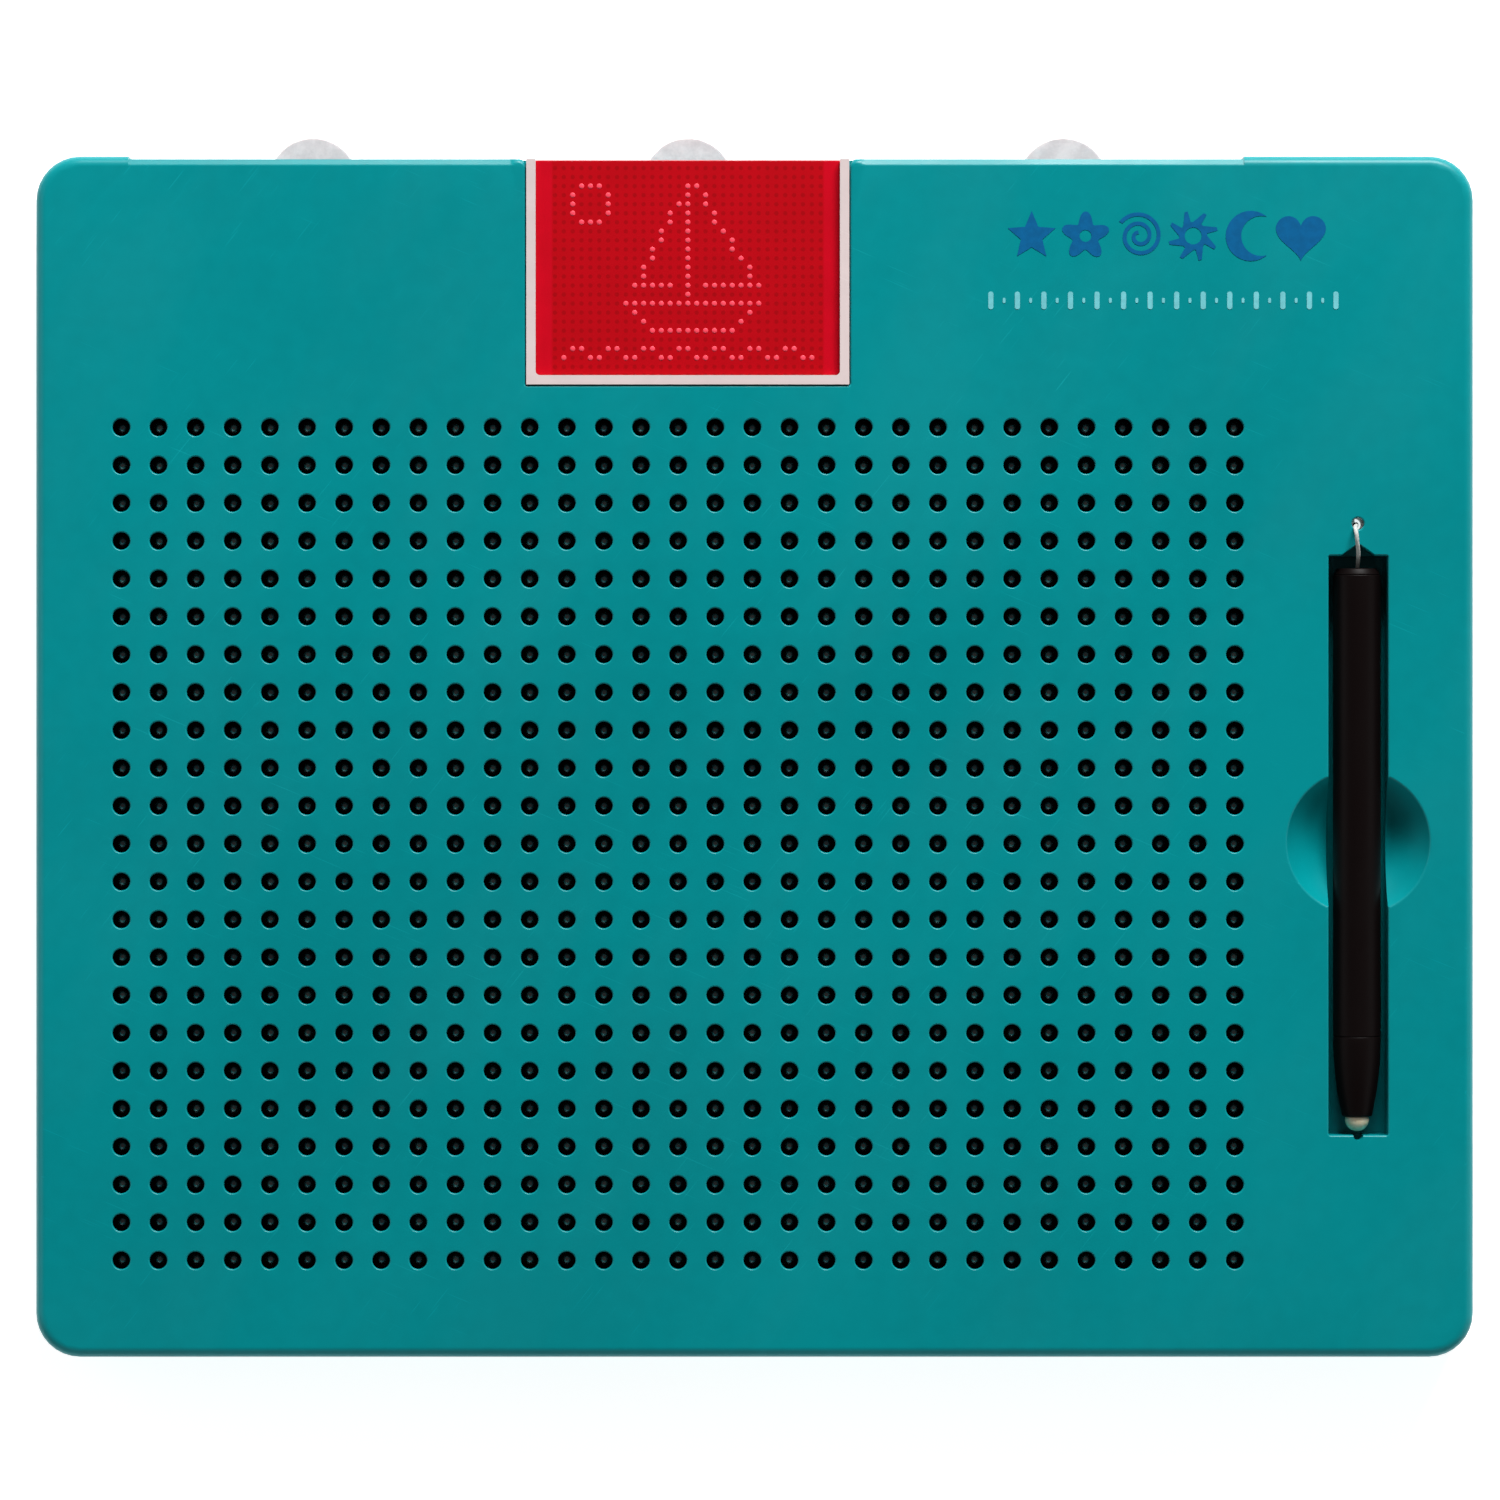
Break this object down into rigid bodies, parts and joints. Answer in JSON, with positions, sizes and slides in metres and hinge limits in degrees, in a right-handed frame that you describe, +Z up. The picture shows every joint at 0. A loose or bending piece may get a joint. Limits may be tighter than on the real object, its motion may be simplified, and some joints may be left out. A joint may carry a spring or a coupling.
{
  "type": "magnetic bead drawing board",
  "caption": "Flat drawing board with a grid of steel beads behind round holes, a tethered magnetic stylus in a side tray and a slide-out picture card at the top.",
  "frame": {"origin": "middle of the whole outline in plan, on the surface that the feet stand on", "axes": "+X across the board towards the stylus tray, +Y up the board towards the picture card, +Z up out of the perforated face"},
  "size_m": [0.31, 0.264, 0.0193],
  "materials": {
    "teal_shell": "satin moulded plastic",
    "teal_back": "fine matt texture",
    "soft_sheet": "matt",
    "black_plate": "matt",
    "steel_bead": "polished ball-bearing steel",
    "white_frame": "satin",
    "red_card": "satin, fine dot relief",
    "stylus_black": "satin moulded plastic",
    "nib_cream": "matt",
    "magnet_grey": "nickel plated",
    "cord_white": "twisted thread",
    "screw_steel": "zinc plated",
    "grey_rubber": "matt"
  },
  "bodies": {
    "root": {"front_cover": "teal_shell", "back_cover": "teal_back", "retainer_sheet": "soft_sheet", "cell_plate": "black_plate", "floor_sheet": "black_plate", "card_frame": "white_frame", "tether_cord": "cord_white", "tether_coil": "cord_white", "tether_knot": "cord_white", "case_screws": "screw_steel", "corner_feet": "grey_rubber", "bumper_left": "grey_rubber", "bumper_middle": "grey_rubber", "bumper_right": "grey_rubber"},
    "card": {"picture_card": "red_card"},
    "stylus": {"stylus_barrel": "stylus_black", "stylus_end_plug": "stylus_black", "stylus_nose": "stylus_black", "stylus_nib": "nib_cream", "stylus_magnet": "magnet_grey", "stylus_knot": "cord_white"},
    "row_01": {"bead_row_01": "steel_bead"},
    "row_02": {"bead_row_02": "steel_bead"},
    "row_03": {"bead_row_03": "steel_bead"},
    "row_04": {"bead_row_04": "steel_bead"},
    "row_05": {"bead_row_05": "steel_bead"},
    "row_06": {"bead_row_06": "steel_bead"},
    "row_07": {"bead_row_07": "steel_bead"},
    "row_08": {"bead_row_08": "steel_bead"},
    "row_09": {"bead_row_09": "steel_bead"},
    "row_10": {"bead_row_10": "steel_bead"},
    "row_11": {"bead_row_11": "steel_bead"},
    "row_12": {"bead_row_12": "steel_bead"},
    "row_13": {"bead_row_13": "steel_bead"},
    "row_14": {"bead_row_14": "steel_bead"},
    "row_15": {"bead_row_15": "steel_bead"},
    "row_16": {"bead_row_16": "steel_bead"},
    "row_17": {"bead_row_17": "steel_bead"},
    "row_18": {"bead_row_18": "steel_bead"},
    "row_19": {"bead_row_19": "steel_bead"},
    "row_20": {"bead_row_20": "steel_bead"},
    "row_21": {"bead_row_21": "steel_bead"},
    "row_22": {"bead_row_22": "steel_bead"},
    "row_23": {"bead_row_23": "steel_bead"}
  },
  "joints": [
    {"name": "card_slide", "type": "slide", "parent": "root", "child": "card", "axis": [0, 1, 0], "range_m": [0, 0.046]},
    {"name": "stylus_lift", "type": "slide", "parent": "root", "child": "stylus", "axis": [0, 0, 1], "range_m": [0, 0.03], "deforming": ["tether_cord"]},
    {"name": "row_01_lift", "type": "slide", "parent": "root", "child": "row_01", "axis": [0, 0, 1], "range_m": [0, 0.003]},
    {"name": "row_02_lift", "type": "slide", "parent": "root", "child": "row_02", "axis": [0, 0, 1], "range_m": [0, 0.003]},
    {"name": "row_03_lift", "type": "slide", "parent": "root", "child": "row_03", "axis": [0, 0, 1], "range_m": [0, 0.003]},
    {"name": "row_04_lift", "type": "slide", "parent": "root", "child": "row_04", "axis": [0, 0, 1], "range_m": [0, 0.003]},
    {"name": "row_05_lift", "type": "slide", "parent": "root", "child": "row_05", "axis": [0, 0, 1], "range_m": [0, 0.003]},
    {"name": "row_06_lift", "type": "slide", "parent": "root", "child": "row_06", "axis": [0, 0, 1], "range_m": [0, 0.003]},
    {"name": "row_07_lift", "type": "slide", "parent": "root", "child": "row_07", "axis": [0, 0, 1], "range_m": [0, 0.003]},
    {"name": "row_08_lift", "type": "slide", "parent": "root", "child": "row_08", "axis": [0, 0, 1], "range_m": [0, 0.003]},
    {"name": "row_09_lift", "type": "slide", "parent": "root", "child": "row_09", "axis": [0, 0, 1], "range_m": [0, 0.003]},
    {"name": "row_10_lift", "type": "slide", "parent": "root", "child": "row_10", "axis": [0, 0, 1], "range_m": [0, 0.003]},
    {"name": "row_11_lift", "type": "slide", "parent": "root", "child": "row_11", "axis": [0, 0, 1], "range_m": [0, 0.003]},
    {"name": "row_12_lift", "type": "slide", "parent": "root", "child": "row_12", "axis": [0, 0, 1], "range_m": [0, 0.003]},
    {"name": "row_13_lift", "type": "slide", "parent": "root", "child": "row_13", "axis": [0, 0, 1], "range_m": [0, 0.003]},
    {"name": "row_14_lift", "type": "slide", "parent": "root", "child": "row_14", "axis": [0, 0, 1], "range_m": [0, 0.003]},
    {"name": "row_15_lift", "type": "slide", "parent": "root", "child": "row_15", "axis": [0, 0, 1], "range_m": [0, 0.003]},
    {"name": "row_16_lift", "type": "slide", "parent": "root", "child": "row_16", "axis": [0, 0, 1], "range_m": [0, 0.003]},
    {"name": "row_17_lift", "type": "slide", "parent": "root", "child": "row_17", "axis": [0, 0, 1], "range_m": [0, 0.003]},
    {"name": "row_18_lift", "type": "slide", "parent": "root", "child": "row_18", "axis": [0, 0, 1], "range_m": [0, 0.003]},
    {"name": "row_19_lift", "type": "slide", "parent": "root", "child": "row_19", "axis": [0, 0, 1], "range_m": [0, 0.003]},
    {"name": "row_20_lift", "type": "slide", "parent": "root", "child": "row_20", "axis": [0, 0, 1], "range_m": [0, 0.003]},
    {"name": "row_21_lift", "type": "slide", "parent": "root", "child": "row_21", "axis": [0, 0, 1], "range_m": [0, 0.003]},
    {"name": "row_22_lift", "type": "slide", "parent": "root", "child": "row_22", "axis": [0, 0, 1], "range_m": [0, 0.003]},
    {"name": "row_23_lift", "type": "slide", "parent": "root", "child": "row_23", "axis": [0, 0, 1], "range_m": [0, 0.003]}
  ]
}
